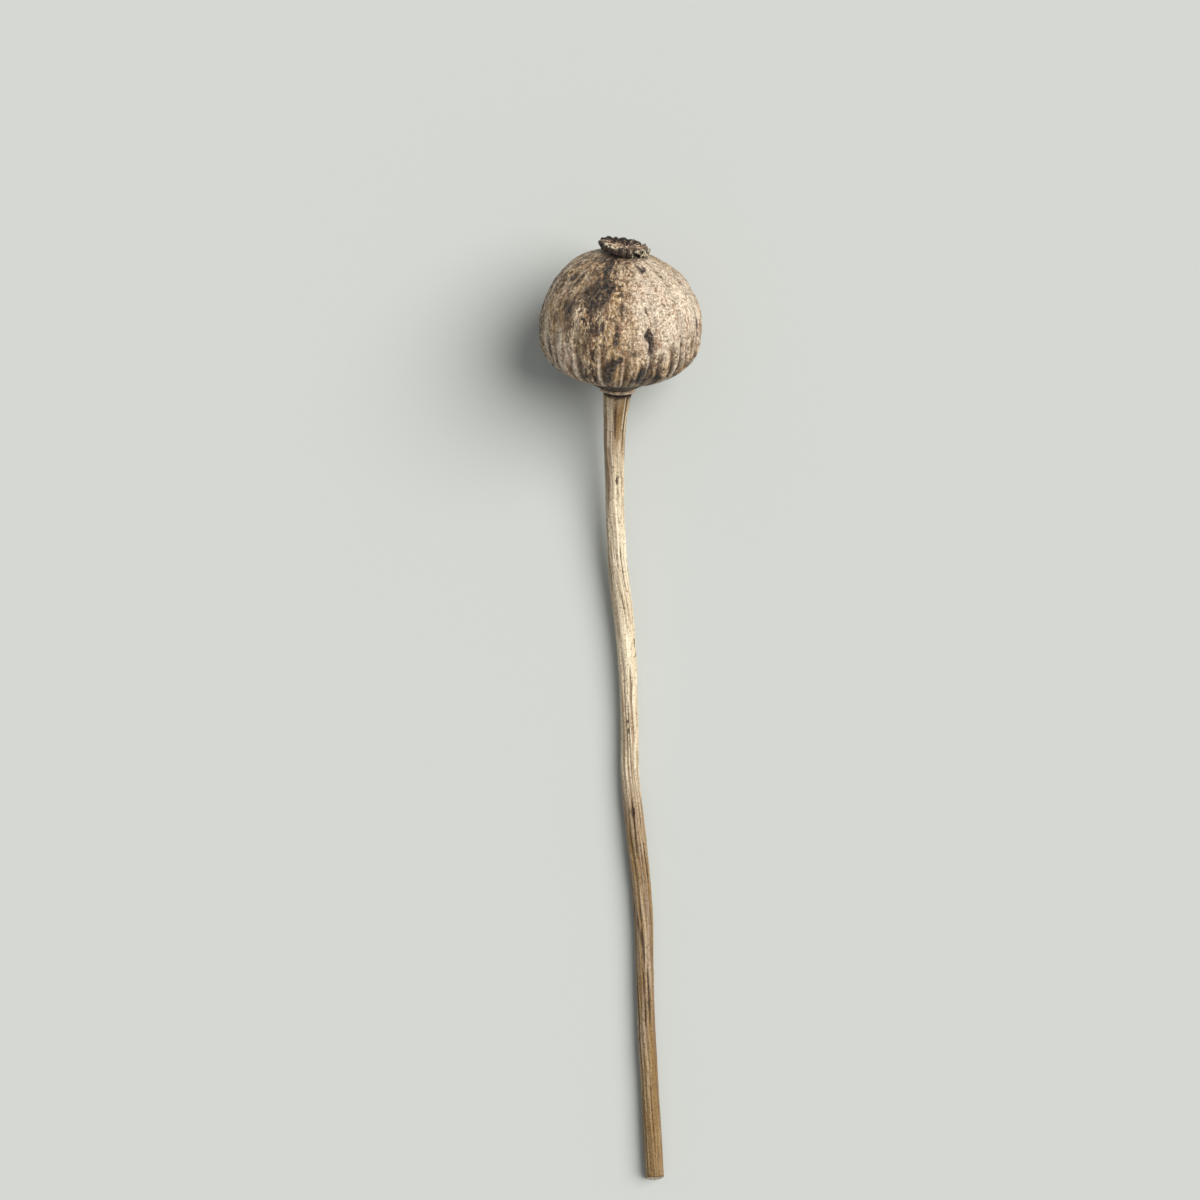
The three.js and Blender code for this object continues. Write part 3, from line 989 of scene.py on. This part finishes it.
def capsule_material():
    material, n = new_material("dry_capsule_skin")
    grain = n.attribute("grain", "Vector")
    place = n.add("ShaderNodeTexCoord").outputs["Object"]
    pale_and_lit = n.attribute("pale_and_lit")
    gold = n.ragged(grain, n.attribute("gold"), 220, 0.12, 0.6, 0.92)
    colour = capsule_ground(n, grain, pale_and_lit, gold)
    colour = capsule_flecks(n, colour, grain, pale_and_lit, gold)
    sparse = n.math("SUBTRACT", 0.75, n.math("MULTIPLY", pale_and_lit, 0.3))
    pits = n.patches(place, 1150, 1150, 0.565, 0.63, 41)
    colour = n.blend(n.math("MULTIPLY", pits, sparse), colour, BROWN)
    # Painted shade: the grooves and pleats are painted dark.
    colour = n.blend(n.math("POWER", n.attribute("groove_shade"), 1.4), colour, DARK)
    # Painted highlight: the rib just before each groove is painted pale in patches.
    rib_highlight = n.math("MULTIPLY", n.attribute("rib"), n.patches(place, 500, 500, 0.40, 0.52, 71))
    colour = n.blend(n.math("MULTIPLY", rib_highlight, 0.95), colour, PALEST_CREAM)
    colour = capsule_damp(n, colour, place)
    colour = n.blend(n.math("MULTIPLY", n.specks(place, 900, 0.42), sparse), colour, BROWN)
    fibre = n.patches(grain, 1000, 300, 0.35, 0.65, 5)
    crinkle = n.patches(place, 1100, 1100, 0.42, 0.58, 3)
    height = n.math("ADD", n.math("MULTIPLY", fibre, 0.4), n.math("MULTIPLY", crinkle, 0.6))
    height = n.math("SUBTRACT", height, n.math("MULTIPLY", pits, 0.5))
    roughness = n.add("ShaderNodeMapRange", named={"Value": fibre, "To Min": 0.36, "To Max": 0.6})
    surface(n, colour, roughness.outputs["Result"], height, 0.6 * MM, specular=0.5)
    return material


def crown_material():
    material, n = new_material("dry_crown_rays")
    place = n.add("ShaderNodeTexCoord").outputs["Object"]
    dark, brown = (0.013, 0.007, 0.005, 1), (0.13, 0.066, 0.04, 1)
    rosy, straw = (0.92, 0.67, 0.46, 1), (0.98, 0.85, 0.60, 1)
    colour = n.blend(n.math("MULTIPLY", n.patches(place, 700, 700, 0.42, 0.56), 0.9), brown, dark)
    tops = n.math("MULTIPLY", n.attribute("ridge"), n.patches(place, 700, 700, 0.40, 0.52, 9))
    colour = n.blend(tops, colour, rosy)
    # Painted shade: the valleys between the rays are painted dark; fine dark lines that run out from
    # the middle share this mask.
    valley = n.math("POWER", n.attribute("valley"), 0.42)
    colour = n.blend(n.math("MULTIPLY", valley, 0.95), colour, dark)
    # Painted highlight: a straw-pale band on the lip, on the -X part of the side that faces up.
    lip = n.math("MULTIPLY", n.attribute("lip"), n.patches(place, 500, 500, 0.40, 0.50, 39))
    colour = n.blend(lip, colour, straw)
    tips = n.math("MULTIPLY", n.attribute("pale"), n.patches(place, 650, 650, 0.47, 0.54, 19))
    colour = n.blend(n.math("MULTIPLY", tips, 0.95), colour, straw)
    # Painted shade in the gaps among the pale torn tips.
    gap_shade = n.math("MULTIPLY", n.attribute("pale"), n.patches(place, 600, 600, 0.50, 0.55, 29))
    colour = n.blend(gap_shade, colour, dark)
    folds = n.math("ADD", 0.5, n.math("MULTIPLY", n.patches(place, 900, 900, 0.4, 0.6, 49), 0.5))
    colour = n.blend(n.math("MULTIPLY", n.attribute("shade"), folds), colour, dark)
    height = n.patches(place, 2500, 2500, 0.3, 0.7, 3)
    surface(n, colour, 0.6, height, 0.3 * MM, specular=0.4)
    return material


def receptacle_material():
    material, n = new_material("corky_receptacle")
    place = n.add("ShaderNodeTexCoord").outputs["Object"]
    dark, tan = (0.02, 0.012, 0.008, 1), (0.72, 0.54, 0.38, 1)
    rise = n.attribute("rise")
    # Painted shade: dark under the ring, and dark above it under the capsule.
    shade_under_ring = n.eased(rise, 0.62, 0.46)
    shade_over_ring = n.eased(rise, 1.06, 1.18)
    colour = n.blend(n.math("MULTIPLY", n.patches(place, 900, 900, 0.45, 0.62), 0.6), tan, dark)
    colour = n.blend(shade_under_ring, colour, dark)
    colour = n.blend(n.math("MULTIPLY", shade_over_ring, 0.8), colour, dark)
    surface(n, colour, 0.8, n.patches(place, 2000, 2000, 0.3, 0.7, 3), 0.15 * MM, specular=0.3)
    return material


def stem_material():
    material, n = new_material("dry_stem_straw")
    grain = n.attribute("grain", "Vector")
    place = n.add("ShaderNodeTexCoord").outputs["Object"]
    golden, straw = (0.26, 0.152, 0.05, 1), (0.78, 0.65, 0.45, 1)
    cream, mauve = (0.96, 0.84, 0.64, 1), (0.36, 0.26, 0.19, 1)
    brown, dark = (0.15, 0.072, 0.03, 1), (0.05, 0.024, 0.012, 1)
    pith = (0.62, 0.53, 0.38, 1)
    pale = n.attribute("pale")
    light = n.math("ADD", 0.22, n.math("MULTIPLY", pale, 0.6))
    drift = n.math("MULTIPLY", n.math("SUBTRACT", n.patches(grain, 260, 30, 0.38, 0.62, 3), 0.5), 0.7)
    colour = n.blend(n.math("ADD", pale, drift), golden, straw)
    colour = n.blend(n.math("MULTIPLY", n.patches(grain, 300, 36, 0.50, 0.62, 13), 0.45), colour, mauve)
    lip = n.math("MULTIPLY", n.attribute("lip"), n.patches(grain, 400, 30, 0.38, 0.52, 43))
    colour = n.blend(n.math("MULTIPLY", lip, light), colour, cream)
    colour = n.blend(n.math("MULTIPLY", n.patches(grain, 800, 26, 0.52, 0.60, 7), 0.55), colour, brown)
    streaks = n.patches(grain, 850, 26, 0.51, 0.59, 33)
    colour = n.blend(n.math("MULTIPLY", streaks, light), colour, cream)
    pits = n.math("MULTIPLY", n.patches(place, 1100, 1100, 0.565, 0.62, 27), 0.6)
    colour = n.blend(pits, colour, brown)
    drawn = n.add("ShaderNodeVectorMath", grain, (1, 1, 0.16), operation="MULTIPLY").outputs[0]
    colour = n.blend(n.ragged(drawn, n.attribute("groove"), 300, 0.3, 0.65, 0.85), colour, dark)
    # Spots and scars, and the painted shadow under the collar.
    colour = n.blend(n.ragged(drawn, n.attribute("spots_and_shadow"), 600, 0.25, 0.6, 0.85), colour, dark)
    colour = n.blend(n.attribute("cut"), colour, pith)
    fibre = n.patches(grain, 1200, 60, 0.38, 0.62, 5)
    grit = n.patches(place, 1300, 1300, 0.42, 0.58, 15)
    height = n.math("ADD", n.math("MULTIPLY", fibre, 0.55), n.math("MULTIPLY", grit, 0.45))
    surface(n, colour, 0.45, height, 0.35 * MM, specular=0.4)
    return material


# ---------------------------------------------------------------- stage

FLOOR_SIZE = 6  # half the floor's width, in metres
FLOOR_COLOUR = (0.50, 0.52, 0.50, 1)
LIGHT_FROM = (0.78, 0.3, 1.05)
LIGHT_SPREAD = radians(50)
CAMERA_HEIGHT = 1.0017
CAMERA_ACROSS = -6.1 * MM  # from the neck
CAMERA_ALONG = -71.5 * MM


def make_floor():
    bm = bmesh.new()
    bmesh.ops.create_grid(bm, x_segments=1, y_segments=1, size=FLOOR_SIZE)
    mesh = bpy.data.meshes.new("floor")
    bm.to_mesh(mesh)
    bm.free()
    floor_object = bpy.data.objects.new("floor", mesh)
    bpy.context.scene.collection.objects.link(floor_object)
    material, n = new_material("pale_floor")
    matt = {"Base Color": FLOOR_COLOUR, "Roughness": 0.9}
    shader = n.add("ShaderNodeBsdfPrincipled", named=matt)
    output = n.tree.nodes.new("ShaderNodeOutputMaterial")
    n.tree.links.new(shader.outputs[0], output.inputs["Surface"])
    mesh.materials.append(material)


def make_light():
    """One large soft light from above and to the +X side, and an even glow all round."""
    light = bpy.data.lights.new("key", "SUN")
    light.angle = LIGHT_SPREAD
    light.energy = 3.9
    light.color = (1.0, 0.985, 0.955)
    lamp = bpy.data.objects.new("key", light)
    lamp.rotation_mode = "QUATERNION"
    lamp.rotation_quaternion = Vector(LIGHT_FROM).to_track_quat("Z", "Y")
    bpy.context.scene.collection.objects.link(lamp)
    world = bpy.data.worlds.new("studio")
    world.use_nodes = True
    glow = world.node_tree.nodes["Background"].inputs
    glow["Color"].default_value = (0.97, 0.985, 0.98, 1)
    glow["Strength"].default_value = 0.36
    bpy.context.scene.world = world


def make_camera():
    """Looks straight down on the stem, so that the head is high in the picture."""
    neck = HEAD @ Vector((0, -JOINT_GAP, 0))
    camera = bpy.data.cameras.new("camera")
    camera.lens = 85
    camera.sensor_width = 36
    camera.clip_start = 0.05
    holder = bpy.data.objects.new("camera", camera)
    holder.location = (neck.x + CAMERA_ACROSS, neck.y + CAMERA_ALONG, CAMERA_HEIGHT)
    bpy.context.scene.collection.objects.link(holder)
    bpy.context.scene.camera = holder


def main():
    make_camera()
    make_floor()
    make_light()
    make_capsule(capsule_material())
    make_crown(crown_material())
    make_receptacle(receptacle_material())
    make_stem(stem_material())
    bpy.context.scene.view_settings.view_transform = "Standard"


main()
